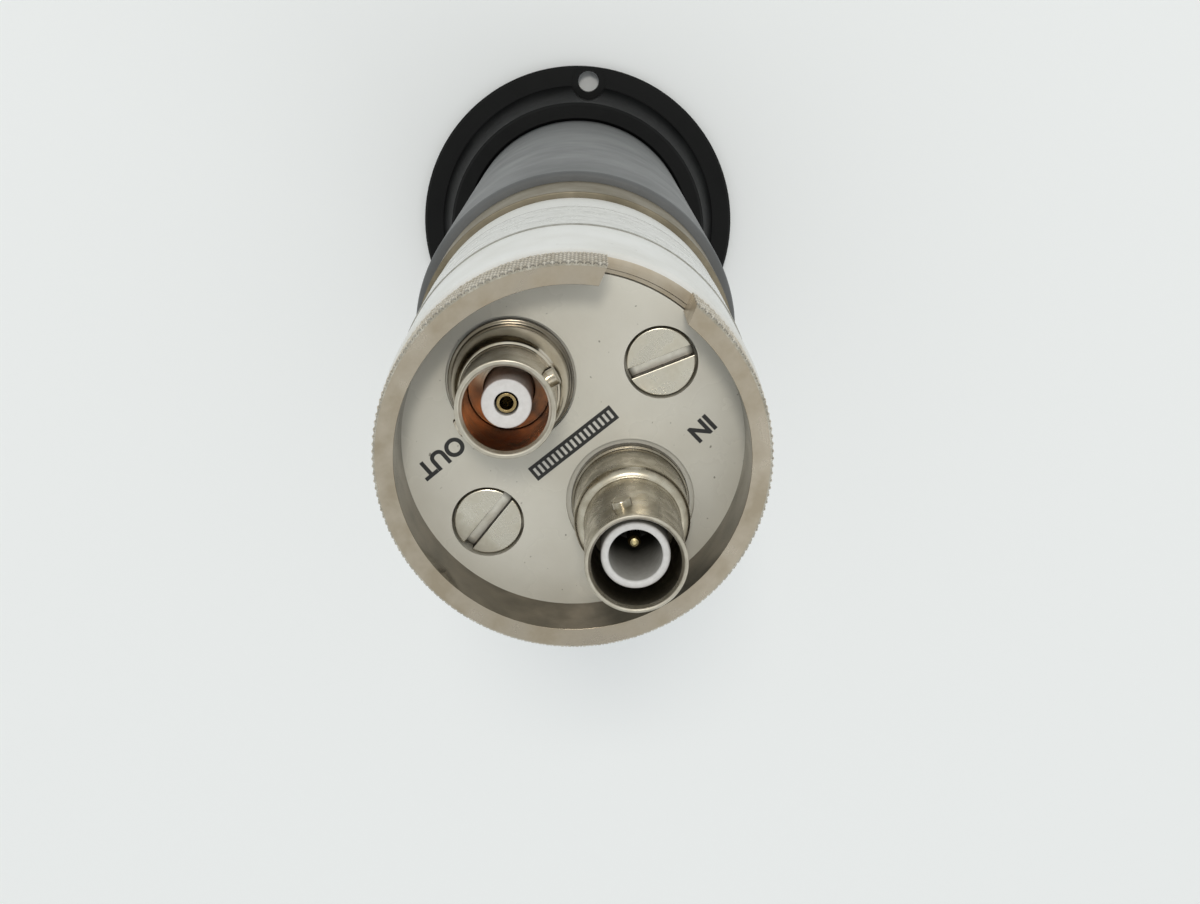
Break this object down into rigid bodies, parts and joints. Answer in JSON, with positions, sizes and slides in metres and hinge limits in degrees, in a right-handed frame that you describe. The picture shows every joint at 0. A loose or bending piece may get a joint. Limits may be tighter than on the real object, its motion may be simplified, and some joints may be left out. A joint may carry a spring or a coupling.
{
  "type": "photomultiplier tube housing",
  "caption": "Cylindrical photomultiplier tube housing with a drilled front flange, a knurled rear guard ring and two coaxial jacks.",
  "frame": {"origin": "centre of the front flange's face, on which the housing stands", "axes": "+Z along the tube's axis from the flange to the jacks, X through the two plate screws, +Y towards the high voltage jack"},
  "size_m": [0.0654, 0.0654, 0.1962],
  "materials": {
    "black_anodised": "black anodised, satin",
    "black_rubber": "matt",
    "grey_enamel": "grey stove enamel, satin",
    "nickel_iron": "annealed nickel iron, dull",
    "grey_felt": "felt",
    "tube_glass": "clear",
    "electrode_nickel": "dull nickel",
    "dynode_alloy": "satin",
    "white_ceramic": "fired ceramic",
    "brown_phenolic": "moulded phenolic",
    "tinned_brass": "tinned",
    "bare_aluminium": "milled",
    "turned_brass": "turned",
    "zinc_steel": "zinc plated",
    "board_laminate": "glass laminate",
    "resistor_enamel": "enamel",
    "capacitor_dip": "dipped ceramic",
    "white_ptfe": "waxy",
    "red_insulation": "extruded",
    "dull_nickel": "dull nickel plate on brass",
    "white_enamel": "off-white enamel, satin",
    "paper_tape": "plain tape",
    "satin_nickel": "satin nickel plate on brass, knurled",
    "cream_enamel": "pale stone enamel, semi gloss",
    "nickel_screw": "nickel plate, turned",
    "bright_nickel": "bright nickel plate",
    "hv_nickel": "nickel plate",
    "gold_contact": "gold plate"
  },
  "bodies": {
    "root": {"front_flange": "black_anodised", "face_seal": "black_rubber", "front_light_seal": "black_rubber", "body_tube": "grey_enamel", "magnetic_shield": "nickel_iron", "shield_rings": "grey_felt", "tube_cushions": "grey_felt", "glass_envelope": "tube_glass", "focus_cup": "electrode_nickel", "dynodes": "dynode_alloy", "dynode_supports": "white_ceramic", "stem_pins": "electrode_nickel", "tube_socket": "brown_phenolic", "socket_tags": "tinned_brass", "socket_plate": "bare_aluminium", "front_pillars": "turned_brass", "socket_screws": "zinc_steel", "lower_board": "board_laminate", "middle_pillars": "turned_brass", "divider_resistors": "resistor_enamel", "divider_capacitors": "capacitor_dip", "upper_board": "board_laminate", "rear_pillars": "turned_brass", "signal_lead": "white_ptfe", "hv_lead": "red_insulation", "joint_collar": "dull_nickel", "rear_drum": "white_enamel", "tape_band": "paper_tape", "clamp_ring": "satin_nickel", "end_plate": "cream_enamel", "plate_screws": "nickel_screw", "signal_jack_body": "bright_nickel", "signal_jack_insulator": "white_ptfe", "signal_jack_contact": "gold_contact", "signal_jack_washer": "zinc_steel", "signal_jack_nut": "bright_nickel", "hv_jack_body": "hv_nickel", "hv_jack_insulator": "white_ptfe", "hv_jack_pin": "gold_contact", "hv_jack_washer": "zinc_steel", "hv_jack_nut": "hv_nickel"}
  },
  "joints": []
}
